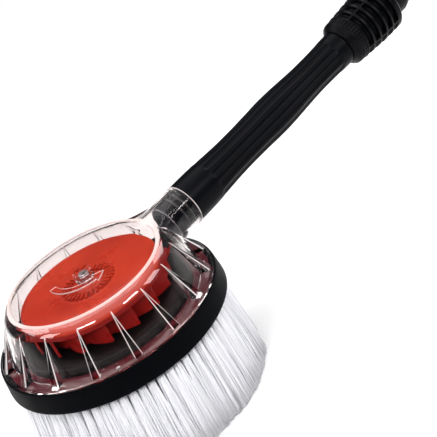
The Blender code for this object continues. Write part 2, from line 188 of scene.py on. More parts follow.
def cut(ob, *ops):
    """Applies Booleans: pairs of (operation, other object), which is removed."""
    for op, other in ops:
        m = ob.modifiers.new(op, "BOOLEAN")
        m.operation, m.solver, m.object = op, "EXACT", other
    dg = bpy.context.evaluated_depsgraph_get()
    me = bpy.data.meshes.new_from_object(ob.evaluated_get(dg), depsgraph=dg)
    ob.modifiers.clear()
    ob.data = me
    for _, other in ops:
        bpy.data.objects.remove(other, do_unlink=True)
    return ob


def resharp(ob, deg=30.0, dist=0.0):
    me = ob.data
    bm = bmesh.new()
    bm.from_mesh(me)
    if dist:
        bmesh.ops.remove_doubles(bm, verts=bm.verts, dist=dist)
    bmesh.ops.dissolve_degenerate(bm, dist=1e-7, edges=bm.edges)
    bm.to_mesh(me)
    bm.free()
    me.shade_smooth()
    me.set_sharp_from_angle(angle=math.radians(deg))


# ------------------------------------------------------------------ materials
def node(nt, kind, **kw):
    n = nt.nodes.new(kind)
    for k, v in kw.items():
        if k in n.inputs:
            n.inputs[k].default_value = v
        else:
            setattr(n, k, v)
    return n


def base_material(name):
    m = bpy.data.materials.new(name)
    m.use_nodes = True
    return m, m.node_tree, m.node_tree.nodes["Principled BSDF"]


def coords(nt):
    return node(nt, "ShaderNodeTexCoord").outputs["Object"]


def noise(nt, vec, scale, detail=4.0, rough=0.55, stretch=None):
    if stretch is not None:
        mp = node(nt, "ShaderNodeMapping")
        mp.inputs["Scale"].default_value = stretch
        nt.links.new(vec, mp.inputs["Vector"])
        vec = mp.outputs["Vector"]
    n = node(nt, "ShaderNodeTexNoise")
    n.inputs["Scale"].default_value = scale
    n.inputs["Detail"].default_value = detail
    n.inputs["Roughness"].default_value = rough
    nt.links.new(vec, n.inputs["Vector"])
    return n.outputs["Fac"]


def ramp(nt, fac, stops):
    r = node(nt, "ShaderNodeValToRGB")
    el = r.color_ramp.elements
    while len(el) < len(stops):
        el.new(0.5)
    for e, (pos, col) in zip(el, stops):
        e.position = pos
        e.color = (*col, 1.0) if len(col) == 3 else col
    nt.links.new(fac, r.inputs["Fac"])
    return r.outputs["Color"]


def span(nt, fac, lo_v, hi_v, a=0.3, b=0.7):
    r = node(nt, "ShaderNodeMapRange")
    r.inputs["From Min"].default_value = a
    r.inputs["From Max"].default_value = b
    r.inputs["To Min"].default_value = lo_v
    r.inputs["To Max"].default_value = hi_v
    nt.links.new(fac, r.inputs["Value"])
    return r.outputs["Result"]


def bump(nt, bsdf, height, strength, dist, prev=None):
    b = node(nt, "ShaderNodeBump")
    b.inputs["Strength"].default_value = strength
    b.inputs["Distance"].default_value = dist
    nt.links.new(height, b.inputs["Height"])
    if prev is not None:
        nt.links.new(prev, b.inputs["Normal"])
    nt.links.new(b.outputs["Normal"], bsdf.inputs["Normal"])
    return b.outputs["Normal"]


def moulded(name, dark, light, rough_lo, rough_hi, grain=900.0, grain_h=0.00003, strength=0.25, spec=0.5, coat=0.0):
    """Injection-moulded plastic: spark-eroded grain, faint flow marks, uneven gloss."""
    m, nt, b = base_material(name)
    v = coords(nt)
    flow = noise(nt, v, 14.0, 3.0, 0.5)
    nt.links.new(ramp(nt, flow, [(0.25, dark), (0.75, light)]), b.inputs["Base Color"])
    smear = noise(nt, v, 45.0, 5.0, 0.6)
    nt.links.new(span(nt, smear, rough_lo, rough_hi), b.inputs["Roughness"])
    fine = noise(nt, v, grain, 2.0, 0.6)
    n1 = bump(nt, b, fine, strength, grain_h)
    bump(nt, b, noise(nt, v, 60.0, 2.0, 0.5), 0.12, 0.0002, n1)
    b.inputs["Specular IOR Level"].default_value = spec
    if coat:
        b.inputs["Coat Weight"].default_value = coat
        b.inputs["Coat Roughness"].default_value = 0.12
    return m


def clear(name, tint, rough, wave=0.0, ior=1.17, coat=0.14):
    """Clear moulded plastic that lets lamps through, with faint flow waves."""
    m, nt, b = base_material(name)
    v = coords(nt)
    b.inputs["Transmission Weight"].default_value = 1.0
    b.inputs["IOR"].default_value = ior
    b.inputs["Coat Weight"].default_value = coat
    b.inputs["Coat Roughness"].default_value = 0.03
    b.inputs["Specular IOR Level"].default_value = 0.5
    n = noise(nt, v, 22.0, 2.0, 0.4)
    nt.links.new(ramp(nt, n, [(0.3, tint), (0.7, tuple(min(1.0, c * 1.015) for c in tint))]), b.inputs["Base Color"])
    nt.links.new(span(nt, noise(nt, v, 120.0, 3.0, 0.6), rough, rough + 0.02), b.inputs["Roughness"])
    bump(nt, b, noise(nt, v, 40.0, 2.0, 0.4), 0.05 + wave, 0.0003)
    tr = node(nt, "ShaderNodeBsdfTransparent")
    tr.inputs["Color"].default_value = (0.93, 0.92, 0.93, 1)
    mix = node(nt, "ShaderNodeMixShader")
    lp = node(nt, "ShaderNodeLightPath")
    out = nt.nodes["Material Output"]
    nt.links.new(lp.outputs["Is Shadow Ray"], mix.inputs["Fac"])
    nt.links.new(b.outputs["BSDF"], mix.inputs[1])
    nt.links.new(tr.outputs["BSDF"], mix.inputs[2])
    nt.links.new(mix.outputs["Shader"], out.inputs["Surface"])
    return m


def steel(name):
    m, nt, b = base_material(name)
    v = coords(nt)
    n = noise(nt, v, 300.0, 4.0, 0.7, (1, 1, 12))
    nt.links.new(ramp(nt, n, [(0.3, (0.46, 0.46, 0.48)), (0.7, (0.66, 0.66, 0.67))]), b.inputs["Base Color"])
    nt.links.new(span(nt, n, 0.22, 0.40), b.inputs["Roughness"])
    b.inputs["Metallic"].default_value = 1.0
    bump(nt, b, n, 0.15, 0.00002)
    return m


def bristle(name, dark, light):
    """Fine soft filament: white with fine tone change along the hair."""
    m, nt, b = base_material(name)
    v = coords(nt)
    n = noise(nt, v, 160.0, 3.0, 0.6, (1, 1, 0.08))
    nt.links.new(ramp(nt, n, [(0.3, dark), (0.7, light)]), b.inputs["Base Color"])
    nt.links.new(span(nt, noise(nt, v, 500.0, 2.0, 0.5), 0.42, 0.62), b.inputs["Roughness"])
    b.inputs["Specular IOR Level"].default_value = 0.35
    b.inputs["Sheen Weight"].default_value = 0.15
    bump(nt, b, noise(nt, v, 1500.0, 1.0, 0.5), 0.05, 0.00001)
    return m


M_CLEAR = clear("clear_plastic", (0.880, 0.826, 0.815), 0.0)
# step ring: rough clear plastic whose pale whitish-pink colour is a painted highlight band, not the plastic's own
# colour
M_STEP_PAINTED_BAND = clear("clear_step_painted_highlight", (0.97, 0.80, 0.76), 0.45)
M_STEP_PAINTED_BAND.node_tree.nodes["Principled BSDF"].inputs["Transmission Weight"].default_value = 0.45
M_GLINT = clear("clear_shoulder", (0.930, 0.890, 0.885), 0.0, 0.0, 1.42, 1.0)
# edge strips: whitish, partly diffuse clear plastic; a painted highlight that draws bright lines along rib crests,
# arrow sides and the neck mouth
M_EDGE_PAINTED_HIGHLIGHT = clear("clear_edge_painted_highlight", (0.97, 0.93, 0.93), 0.30)
M_EDGE_PAINTED_HIGHLIGHT.node_tree.nodes["Principled BSDF"].inputs["Transmission Weight"].default_value = 0.40
M_RUBBER = moulded("bumper_rubber", (0.0006, 0.0008, 0.0014), (0.0013, 0.0016, 0.0025), 0.40, 0.56, 700.0, 0.00005, 0.35, 0.025)
M_BLACK = moulded("handle_black", (0.0010, 0.0012, 0.0022), (0.0024, 0.0027, 0.0044), 0.28, 0.40, 1100.0, 0.00003, 0.3, 0.05)
M_COLLAR = moulded("collar_black", (0.0010, 0.0011, 0.0019), (0.0022, 0.0024, 0.0036), 0.28, 0.42, 1000.0, 0.00003, 0.3, 0.07)
M_BASE = moulded("cover_black", (0.0016, 0.0012, 0.0014), (0.0060, 0.0042, 0.0044), 0.30, 0.44, 900.0, 0.00002, 0.2, 0.06)
M_RIM = moulded("cover_rim_red", (0.030, 0.002, 0.005), (0.060, 0.004, 0.008), 0.26, 0.40, 900.0, 0.00002, 0.2, 0.20)
M_RED = moulded("turbine_red", (0.22, 0.008, 0.003), (0.40, 0.034, 0.010), 0.24, 0.36, 800.0, 0.00002, 0.18, 0.16)
# shaded copy of the turbine red: painted shade for the side walls and paddles, which sit darker than the lit top
M_RED_SHADED = moulded("turbine_red_painted_shade", (0.13, 0.003, 0.003), (0.24, 0.008, 0.006), 0.24, 0.36, 800.0, 0.00002, 0.18, 0.15)
M_GEAR = moulded("gear_acetal", (0.66, 0.65, 0.60), (0.78, 0.77, 0.72), 0.32, 0.45)
M_SEAL = moulded("seal_rubber", (0.008, 0.008, 0.009), (0.014, 0.014, 0.015), 0.30, 0.45, 1200.0, 0.00002, 0.2, 0.45)
M_STEEL = steel("stainless")
M_HAIR = bristle("bristle_white", (0.86, 0.855, 0.895), (0.93, 0.925, 0.955))

for n, ob in frame["nodes"].items():
    mat = M_STEEL
    if "gear_cover" in n or "carrier" in n or "nozzle" in n or "handle" in n or "connector" in n:
        mat = M_BASE
    elif "planet_gear" in n:
        mat = M_GEAR
    elif "oring" in n:
        mat = M_SEAL
    elif "turbine" in n:
        mat = M_RED
    ob.data.materials.clear()
    ob.data.materials.append(mat)


def hand_in(ob, body, slot, *nodes):
    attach(ob, body)
    if nodes:
        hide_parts(*nodes)
    return ob


# -------------------------------------------------------------- clear housing
RIBS, RIB_PHASE = 16, math.radians(4.0)
SHOULDER = []                              # round shoulder between the step ring and the wall
for i in range(13):
    t = math.radians(66.0 + (20.3 - 66.0) * i / 12)
    SHOULDER.append((55.25 + 10.3 * (math.cos(t) - math.cos(math.radians(66.0))), 106.0 - 10.3 * (math.sin(math.radians(66.0)) - math.sin(t))))
TOP = [(0, 108.6), (14, 108.45), (28, 107.9), (40, 107.25), (50.8, 106.55), (52.2, 106.5, 0.3), (52.7, 107.1, 0.3), (54.5, 107.05, 0.5), (54.9, 106.15, 0.2),
       *SHOULDER, (69.4, 74.9, 1.6), (76.3, 74.2, 0.4), (77.0, 73.5, 0.3), (77.0, 71.7, 0.2), (66.8, 71.7, 0.3)]
INNER = [(66.8, 74.4, 1.0), (57.3, 100.2, 1.2), (55.4, 103.3, 2.0), (52.5, 104.3), (40, 105.0), (28, 105.7), (14, 106.2), (0, 106.35)]
prof = rounded([p for p in TOP if p[0] != 66.8] + [(0, 71.7)], 5)
prof = subdivide(prof, 3.0)


def rib_edge(z):
    """Outer edge line of the gussets at height z."""
    return 59.7 + (75.7 - 59.7) * (102.6 - z) / (102.6 - 74.4)


rows = []
for r, z in prof:
    outer_wall = (r > 58.4 and 74.2 < z < 102.4 and r > 59.9 + (100.8 - z) * 0.36 - 0.6)
    cols, rr = [], []
    for k in range(RIBS):
        c = RIB_PHASE + TAU * k / RIBS
        f = min(1.0, max(0.0, (102.4 - z) / 28.0))
        half = 0.32 + 2.35 * f           # half width at the crest
        foot = 0.15 + 0.35 * f           # flank
        rad = max(r, 30.0)
        skip = min((math.degrees(c)) % 360, 360 - math.degrees(c) % 360) < 18
        up = max(0.0, rib_edge(z) - r) if outer_wall and not skip else 0.0
        lip = min(0.42, half * 0.9)
        for off, raised in ((-half - foot, 0), (-half, 0.86), (-half + lip, 1), (half - lip, 1), (half, 0.86), (half + foot, 0)):
            cols.append(c + off / rad)
            rr.append(r + up * raised)
        gap0, gap1 = c + (half + foot) / rad, c + TAU / RIBS - (half + foot) / rad
        for i in range(1, 12):
            cols.append(gap0 + (gap1 - gap0) * i / 12)
            rr.append(r)
    cols, rr = np.array(cols), np.array(rr)
    rows.append(np.stack([rr * np.cos(cols), rr * np.sin(cols), np.full(len(cols), z)], -1))
P = np.array(rows)
housing = build("housing_clear", P, grid_faces(P.shape[0], P.shape[1]), [M_CLEAR, M_STEP_PAINTED_BAND, M_EDGE_PAINTED_HIGHLIGHT, M_GLINT], None, 24, 0.0)
PER = 6 + 11                               # columns of one rib and its gap
# rib crest corners take the painted highlight edge material (index 2)
for i, p in enumerate(housing.data.polygons):
    row, col = divmod(i, P.shape[1])
    z = rows[row][0][2]
    p.material_index = 2 if (75.0 < z < 102.6 and col % PER in (1, 3) and max(abs(p.normal.x), abs(p.normal.y)) > 0.05 and math.hypot(p.center.x / MM - AXIS_X, p.center.y / MM) > 59.7) else 0


def profile_distance(r, z, poly):
    """Signed distance from points (r, z) to a closed profile, positive outside."""
    best = np.full(r.shape, 1e9)
    inside = np.zeros(r.shape, bool)
    n = len(poly)
    for i in range(n):
        (x0, y0), (x1, y1) = poly[i], poly[(i + 1) % n]
        dx, dy = x1 - x0, y1 - y0
        L = dx * dx + dy * dy
        if L < 1e-12:
            continue
        t = np.clip(((r - x0) * dx + (z - y0) * dy) / L, 0, 1)
        best = np.minimum(best, np.hypot(r - x0 - t * dx, z - y0 - t * dy))
        if y0 != y1:
            hit = ((y0 > z) != (y1 > z)) & (r < (x1 - x0) * (z - y0) / (y1 - y0) + x0)
            inside ^= hit
    return np.where(inside, -best, best)


def junction(name, radius, top, poly, d1, d2, mat, cols=144, floor_z=74.7):
    """Round branch along the handle axis, blended into a body of revolution by a smooth fillet."""
    m = np.array(HF)
    A = np.linspace(0, TAU, cols, endpoint=False)

    def at(s, rad):
        s = np.broadcast_to(s, A.shape)
        rad = np.broadcast_to(rad, A.shape)
        q = np.stack([rad * np.cos(A), rad * np.sin(A), s], -1)
        return q @ m[:3, :3].T + m[:3, 3]

    def dist(p):
        return profile_distance(np.hypot(p[..., 0], p[..., 1]), p[..., 2], poly)

    def grad(p):
        g = np.stack([dist(p + e) - dist(p - e) for e in np.eye(3) * 0.05], -1)
        return g / np.maximum(np.linalg.norm(g, axis=-1, keepdims=True), 1e-9)

    ss = np.arange(86.0, 40.0, -0.1)
    D = np.stack([dist(at(s, radius)) for s in ss])
    s_int = ss[np.argmax(D <= 0, axis=0)]
    P1 = at(s_int, radius)
    nrm = np.stack([np.cos(A), np.sin(A), 0 * A], -1) @ m[:3, :3].T
    g = grad(P1)
    t = nrm - (nrm * g).sum(-1, keepdims=True) * g
    t /= np.linalg.norm(t, axis=-1, keepdims=True)
    room = np.where(t[:, 2] < -0.05, (P1[:, 2] - floor_z) / np.maximum(-t[:, 2], 0.05) * 0.92, 1e3)
    d = np.minimum(d2, np.maximum(room, 0.8))
    for _ in range(3):                     # even out the limit around the branch
        d = (np.roll(d, 2) + np.roll(d, 1) + d + np.roll(d, -1) + np.roll(d, -2)) / 5
    P2 = P1 + t * d[:, None]
    for _ in range(4):
        P2 = P2 - grad(P2) * dist(P2)[:, None]
    g2 = grad(P2)
    u3 = m[:3, 2]
    base = at(0.0, radius)
    den = g2 @ u3
    s_c = np.where(np.abs(den) > 0.15, ((P2 - base) * g2).sum(-1) / np.where(np.abs(den) > 0.15, den, 1), s_int)
    s_c = np.clip(s_c, s_int, s_int + 9.0)
    P2 = P2 - g2 * 0.03
    for _ in range(4):                     # keep the fillet even from one column to the next
        s_c = (np.roll(s_c, 1) + s_c + np.roll(s_c, -1)) / 3
    lead = np.minimum(d1, top[-1][1] - 0.5 - s_c)
    P0 = at(s_c + lead, radius)
    PC = at(s_c, radius)
    rows_ = [at(sv, max(rv, 1e-4)) for rv, sv in top]
    for f in (0.25, 0.5, 0.75):
        rows_.append(rows_[len(top) - 1] * (1 - f) + P0 * f)
    for i in range(15):
        f = i / 14
        rows_.append((1 - f) ** 2 * P0 + 2 * f * (1 - f) * PC + f * f * P2)
    rows_.append(P2 - g2 * 1.2)
    inner = at(50.0, radius * 0.5)
    rows_.append(inner)
    rows_.append(at(50.0, 1e-4))
    V = np.array(rows_)
    k = len(V)
    faces = grid_faces(k, cols, False).tolist()
    return build(name, V, faces, mat, None, 30, 0.001)


neck_top = rounded([(0, 88.0), (15.2, 88.0, 0.2), (15.75, 87.6, 0.3), (15.75, 85.7, 0.2), (15.4, 85.4, 0.3), (15.4, 84.0), (0, 84.0)], 4)[:-1]
OUTER_BODY = rounded([(0, 108.6), (20, 108.1), (40, 106.9, 30.0), (56.6, 105.6, 6.0), (60.4, 99.2, 8.0), (69.5, 74.6), (77.0, 74.0), (77.0, 71.7), (0, 71.7)], 12)
INNER_BODY = rounded([(66.8, 60.0), (66.8, 74.4), (57.6, 99.4, 8.0), (54.3, 104.0, 6.0), (40, 104.9, 30.0), (20, 106.0), (0, 106.3), (0, 60.0)], 12)
neck = junction("neck", 15.4, neck_top, OUTER_BODY, 12.0, 15.0, M_CLEAR)
cavity = lathe("cavity", rounded([(p[0], p[1]) for p in [(0, 60.0), (66.8, 60.0), (66.8, 74.4), (57.3, 100.2), (55.4, 103.3), (52.5, 104.3), (40, 105.0), (28, 105.7), (14, 106.2), (0, 106.35)]]), 224,
               M_CLEAR)
bore = junction("bore", 13.25, [(0, 95.0), (13.25, 95.0), (13.25, 84.0)], INNER_BODY, 9.5, 12.5, M_CLEAR, 144, 76.6)
ARROW_R, ARROW_W, A0, A1 = 21.5, 2.3, math.radians(168), math.radians(262)
arc = [(ARROW_R + ARROW_W, A0 + (A1 - A0) * i / 24) for i in range(25)] + [(ARROW_R + 5.4, A1), (ARROW_R, A1 + math.radians(21)), (ARROW_R - 5.4, A1)]
arc += [(ARROW_R - ARROW_W, A1 + (A0 - A1) * i / 24) for i in range(25)]
av, af = prism_data([(r * math.cos(a), r * math.sin(a)) for r, a in arc], 107.2, 108.95)
arrow = build("arrow", av, af, M_CLEAR)
boss = lathe("boss", rounded([(0, 107.4), (6.6, 107.4), (6.6, 100.4, 0.4), (4.3, 100.4, 0.2), (4.3, 104.8), (0, 104.8)]), 48, M_CLEAR)
cut(housing, ("UNION", neck), ("UNION", arrow), ("DIFFERENCE", cavity), ("DIFFERENCE", bore), ("UNION", boss))
resharp(housing, 24)
me = housing.data
for p in me.polygons:
    c = p.center / MM - Vector((AXIS_X, 0, 0))
    r = math.hypot(c.x, c.y)
    if p.material_index > 2:
        p.material_index = 0
    # the step ring takes the painted highlight band material
    if 52.1 < r < 55.1 and c.z > 105.6 and p.normal.z > -0.2:
        p.material_index = 1
    elif 55.2 < r < 60.6 and 99.8 < c.z < 106.1 and p.normal.z > 0.42 and p.material_index == 0 and c.x < 50:
        p.material_index = 3
    # arrow sides take the painted highlight edge material
    elif 12 < r < 30 and c.z > 107.6 and abs(p.normal.z) < 0.6:
        p.material_index = 2
    # the neck's mouth end takes the painted highlight edge material
    elif (c - Vector((0, 0, HANDLE_Z))).dot(U) > 87.3:
        p.material_index = 2
hand_in(housing, "housing", "clear_plastic", "clear_housing")

# --------------------------------------------------------------------- bumper
bump_prof = subdivide(rounded([(80.0, 58.0, 0.9), (79.9, 61.0, 3.0), (78.95, 70.0, 3.0), (78.5, 72.8, 0.9), (77.35, 73.5, 0.5), (77.3, 71.3, 0.2), (74.3, 71.3, 0.3), (74.3, 69.4, 0.3),
                               (77.2, 69.4, 0.3), (77.4, 58.0, 0.6)], 5), 3.0)
bumper = lathe("bumper_band", bump_prof, 224, M_RUBBER, None, None, 40)
hand_in(bumper, "housing", "bumper_rubber", "bumper_ring")

# -------------------------------------------------------------------- turbine
def radial_bars(n, r0, r1, half0, half1, z0, z1, phase=0.0, sweep=0.0, steps=1):
    bag = Bag()
    for k in range(n):
        a0 = phase + TAU * k / n
        left, right = [], []
        for i in range(steps + 1):
            f = i / steps
            r = r0 + (r1 - r0) * f
            h = half0 + (half1 - half0) * f
            a = a0 + sweep * f * f
            left.append((r * math.cos(a) + h * math.sin(a), r * math.sin(a) - h * math.cos(a)))
            right.append((r * math.cos(a) - h * math.sin(a), r * math.sin(a) + h * math.cos(a)))
        v, f = prism_data(left + right[::-1], z0, z1)
        bag.add(v, f)
    return bag


wheel_prof = subdivide(rounded([(4.1, 98.2, 0.2), (10.8, 98.2, 0.4), (11.6, 96.9, 0.4), (18.2, 96.9), (19.6, 97.2, 0.5), (20.6, 96.8, 0.5), (34.0, 96.7), (46.5, 97.9, 2.0), (49.6, 97.3, 1.6),
                                (50.6, 95.4, 1.0), (50.7, 92.2, 0.4), (49.2, 92.2, 0.4), (48.6, 94.8, 1.0), (42.2, 94.4, 1.0),
                                (42.0, 79.6, 0.4), (40.2, 79.6, 0.4), (40.0, 94.2, 0.6), (12.5, 94.0, 0.6),
                                (12.3, 78.2, 0.5), (6.4, 77.2, 0.5), (6.4, 73.2), (4.1, 73.2)], 5), 3.0)
wheel = lathe("turbine_wheel_red", wheel_prof, 160, M_RED, None, None, 28)
blades = Bag()
for k in range(16):
    a0 = TAU * k / 16
    front_, back_ = [], []
    for i in range(9):
        f = i / 8
        r = 41.0 + 8.7 * f
        a = a0 + math.radians(18) * f
        h = 0.75
        front_.append(((r - h * 0.6) * math.cos(a + h / r), (r - h * 0.6) * math.sin(a + h / r)))
        back_.append(((r + h * 0.6) * math.cos(a - h / r), (r + h * 0.6) * math.sin(a - h / r)))
    v, f = prism_data(front_ + back_[::-1], 78.8, 95.4)
    blades.add(v, f)
blades = blades.make("blades", M_RED)
teeth = radial_bars(30, 12.4, 18.4, 0.45, 0.85, 96.2, 98.5, 0.05).make("teeth", M_RED)
cut(wheel, ("UNION", blades), ("UNION", teeth))
resharp(wheel, 28)
wheel.data.materials.append(M_RED_SHADED)
shade_slot = len(wheel.data.materials) - 1
# faces below the top and off the hub take the painted shade copy of the red
for p in wheel.data.polygons:
    c = p.center / MM
    p.material_index = shade_slot if c.z < 95.6 and math.hypot(c.x - AXIS_X, c.y) > 14 else 0
hand_in(wheel, "turbine", "turbine_red", "turbine_wheel")

# ----------------------------------------------------------------- gear cover
cov_prof = subdivide(rounded([(73.6, 68.9, 0.3), (73.6, 71.3, 0.3), (61.6, 71.3, 0.5), (60.4, 76.5, 1.2), (10.4, 76.5, 0.4), (10.4, 73.4, 0.3), (57.4, 73.4, 0.8), (57.4, 68.9, 0.3)], 4), 3.0)
cov = lathe("cover_plate", cov_prof, 160, [M_BASE, M_RIM], None, None, 30)
for p in cov.data.polygons:
    c = p.center / MM
    if math.hypot(c.x - AXIS_X, c.y) > 62.2:
        p.material_index = 1
hand_in(cov, "housing", "black_plastic", "gear_cover")

# -------------------------------------------------------------- brush carrier
car_prof = subdivide(rounded([(4.1, 60.0, 0.2), (76.3, 60.0, 0.5), (76.3, 66.4, 0.4), (74.3, 66.4, 0.4), (73.4, 63.0, 0.6), (10.0, 63.0, 0.4), (9.0, 64.4, 0.3), (4.1, 64.4, 0.2)], 4), 3.0)
car = lathe("carrier_disc", car_prof, 160, M_BASE, None, None, 30)
MODULE, RING_T = 1.25, 60
ring_pts = []
rp = MODULE * RING_T / 2
half = (math.pi * MODULE / 2 - 0.40) / 2
for k in range(RING_T):
    c = TAU * k / RING_T
    for r, h in ((rp + 1.1 * MODULE, half + 0.45), (rp, half), (rp - 0.8 * MODULE, half - 0.36)):
        ring_pts.append((r, c - h / r))
    for r, h in ((rp - 0.8 * MODULE, half - 0.36), (rp, half), (rp + 1.1 * MODULE, half + 0.45)):
        ring_pts.append((r, c + h / r))
n = len(ring_pts)
inner = np.array([(r * math.cos(a), r * math.sin(a)) for r, a in ring_pts])
outer = np.array([(43.0 * math.cos(a), 43.0 * math.sin(a)) for r, a in ring_pts])
P = np.array([[(x, y, 62.5) for x, y in inner], [(x, y, 72.6) for x, y in inner], [(x, y, 72.6) for x, y in outer], [(x, y, 62.5) for x, y in outer]])
ringgear = build("ringgear", P, grid_faces(4, n), M_BASE, None, 30)
cut(car, ("UNION", ringgear))
resharp(car, 30)
hand_in(car, "brush", "black_plastic", "brush_carrier")

# ------------------------------------------------------------------- bristles
LEAN = np.array([-3.9, -0.4])              # how far the tips lean, mm


def filaments(name, tuft_rows, seed, sides=3, steps=3):
    rng = np.random.default_rng(seed)
    base, tip, mid = [], [], []
    for t in tuft_rows:
        for k in range(t["count"]):
            a = TAU * (k + t.get("phase", 0.0)) / t["count"] + rng.normal(0, 0.004)
            m = t["hairs"]
            q = np.sqrt(rng.random(m)) * t["tuft"]
            w = rng.random(m) * TAU
            ur, ut = q * np.cos(w), q * np.sin(w)      # radial, tangential offsets
            rb = t["rb"] + ur
            ab = a + ut / t["rb"]
            spread = t["spread"]
            rt = t["rt"] + ur / t["tuft"] * spread * t.get("rspread", 1.0) + rng.normal(0, 0.5, m) + rng.normal(0, 0.35)
            at = a + ut / t["tuft"] * spread / t["rt"] + rng.normal(0, 0.9, m) / t["rt"]
            zt = t["z0"] + np.abs(rng.normal(0, 1.1, m)) + np.where(rng.random(m) < 0.06, rng.random(m) * 3.0, 0)
            b = np.stack([rb * np.cos(ab), rb * np.sin(ab), np.full(m, 60.4)], -1)
            e = np.stack([rt * np.cos(at) + LEAN[0], rt * np.sin(at) + LEAN[1], zt], -1)
            c = (b + e) / 2
            c[:, :2] += (np.stack([np.cos(ab), np.sin(ab)], -1) * (t.get("bow", 0.4) + rng.normal(0, 0.25, m))[:, None])
            base.append(b), tip.append(e), mid.append(c)
    b, e, c = map(np.concatenate, (base, tip, mid))
    N = len(b)
    ts = np.linspace(0, 1, steps + 1)
    P = [(1 - s) ** 2 * b + 2 * s * (1 - s) * (2 * c - (b + e) / 2) + s ** 2 * e for s in ts]
    roll = rng.random(N) * TAU
    V = np.zeros((N, steps + 1, sides, 3))
    for i, s in enumerate(ts):
        w = 0.44 - 0.14 * s
        for j in range(sides):
            ang = roll + TAU * j / sides
            V[:, i, j] = P[i] + np.stack([np.cos(ang) * w, np.sin(ang) * w, np.zeros(N)], -1)
    V = V.reshape(-1, 3)
    per = (steps + 1) * sides
    quads, tris = [], []
    for i in range(steps):
        for j in range(sides):
            quads.append((i * sides + j, i * sides + (j + 1) % sides, (i + 1) * sides + (j + 1) % sides, (i + 1) * sides + j))
    off = (np.arange(N) * per)[:, None, None]
    Q = (off + np.array(quads)[None]).reshape(-1, 4)
    caps = np.array([list(range(sides))[::-1], [steps * sides + j for j in range(sides)]])
    C = (off + caps[None]).reshape(-1, sides)
    me = bpy.data.meshes.new(name)
    v = (V + [AXIS_X, 0, 0]) * MM
    loops = np.concatenate([Q.ravel(), C.ravel()])
    sizes = np.concatenate([np.full(len(Q), 4), np.full(len(C), sides)])
    starts = np.concatenate([[0], np.cumsum(sizes)[:-1]])
    me.vertices.add(len(v))
    me.vertices.foreach_set("co", v.astype(np.float32).ravel())
    me.loops.add(len(loops))
    me.loops.foreach_set("vertex_index", loops.astype(np.int32))
    me.polygons.add(len(sizes))
    me.polygons.foreach_set("loop_start", starts.astype(np.int32))
    me.update(calc_edges=True)
    me.validate()
    me.shade_smooth()
    ob = bpy.data.objects.new(name, me)
    bpy.context.scene.collection.objects.link(ob)
    me.materials.append(M_HAIR)
    # faces out
    bm = bmesh.new()
    bm.from_mesh(me)
    if bm.calc_volume(signed=True) < 0:
        bmesh.ops.reverse_faces(bm, faces=bm.faces)
        bm.to_mesh(me)
    bm.free()
    return ob


outer_rows = [dict(rb=73.4, count=72, hairs=122, tuft=2.25, rt=80.2, spread=4.9, z0=0.15, rspread=0.62)]
inner_rows = [dict(rb=67.6, count=72, hairs=56, tuft=2.2, rt=72.5, spread=4.4, z0=0.15),
              dict(rb=60.5, count=60, hairs=38, tuft=2.7, rt=63.8, spread=4.0, z0=0.15),
              dict(rb=53.6, count=52, hairs=34, tuft=2.7, rt=55.8, spread=4.0, z0=0.15, phase=0.5)]
hair_o = filaments("bristle_row_outer", outer_rows, 11)
hair_i = filaments("bristle_rows_inner", inner_rows, 12)
hand_in(hair_o, "brush", "bristle_white", "outer_bristles")
hand_in(hair_i, "brush", "bristle_white", "inner_bristles")

# --------------------------------------------------------------------- handle
GRIP = [(88.3, 15.4), (92.0, 15.42), (99.0, 15.35), (105, 15.25), (111, 15.0), (117, 14.7), (123, 14.4), (128.5, 14.1), (134.5, 13.95), (140.5, 13.85), (152.5, 13.9), (158.5, 14.1), (165, 14.2),
        (171, 14.5), (177, 14.65), (183, 14.65), (189, 14.45), (195.5, 14.2), (202, 13.8), (208, 13.5), (214, 13.2), (221, 13.05), (233.5, 13.1), (240, 13.3), (253, 13.55), (255.4, 13.6)]
gs = np.array([p[0] for p in GRIP])
gr = np.array([p[1] for p in GRIP])
FLUTES = 12


def grip_radius(s):
    """Smooth curve through the grip's radii."""
    out = np.zeros_like(s)
    for d in np.linspace(-4, 4, 9):
        out += np.interp(np.clip(s + d, gs[0], gs[-1]), gs, gr)
    return out / 9


ss = np.concatenate([np.linspace(89.0, 254.6, 190)])
front = [(9.6, 76.0, 0.5), (11.4, 74.6, 0.5), (11.6, 68.2, 0.15), (11.8, 68.0, 0.1), (12.5, 68.0, 0.3), (12.8, 68.5, 0.2), (12.8, 77.0, 0.15), (11.35, 77.0, 0.15), (11.35, 79.0, 0.15), (12.8, 79.0, 0.15), (12.8, 82.0, 0.15), (11.35, 82.0, 0.15),
         (11.35, 84.0, 0.15), (12.8, 84.0, 0.15), (12.8, 88.3, 0.2), (14.9, 88.3, 0.2), (15.35, 88.6, 0.2)]
back = [(13.5, 255.3, 0.2), (13.1, 255.7, 0.2), (8.0, 255.7, 0.3), (8.0, 90.0), (9.6, 86.0)]
grip_rows = [(float(grip_radius(np.array([s]))[0]), float(s)) for s in ss]
hp = rounded(front, 3)[0:] + grip_rows + rounded(back, 3)


def flutes(R, Z, A):
    """Long shallow finger flutes with round ends."""
    per = TAU / FLUTES
    lateral = (np.mod(A + per / 2, per) - per / 2) * R
    end = np.maximum(0, np.maximum(113.0 - Z, Z - 243.0))
    q = np.sqrt(lateral ** 2 + end ** 2) / 3.1
    depth = 0.62 * (1 - np.clip((q - 0.25) / 0.75, 0, 1) ** 2 * (3 - 2 * np.clip((q - 0.25) / 0.75, 0, 1)))
    on = (R > 12.6) & (Z > 100) & (Z < 252)
    return np.where(on, R - depth, R), Z, A


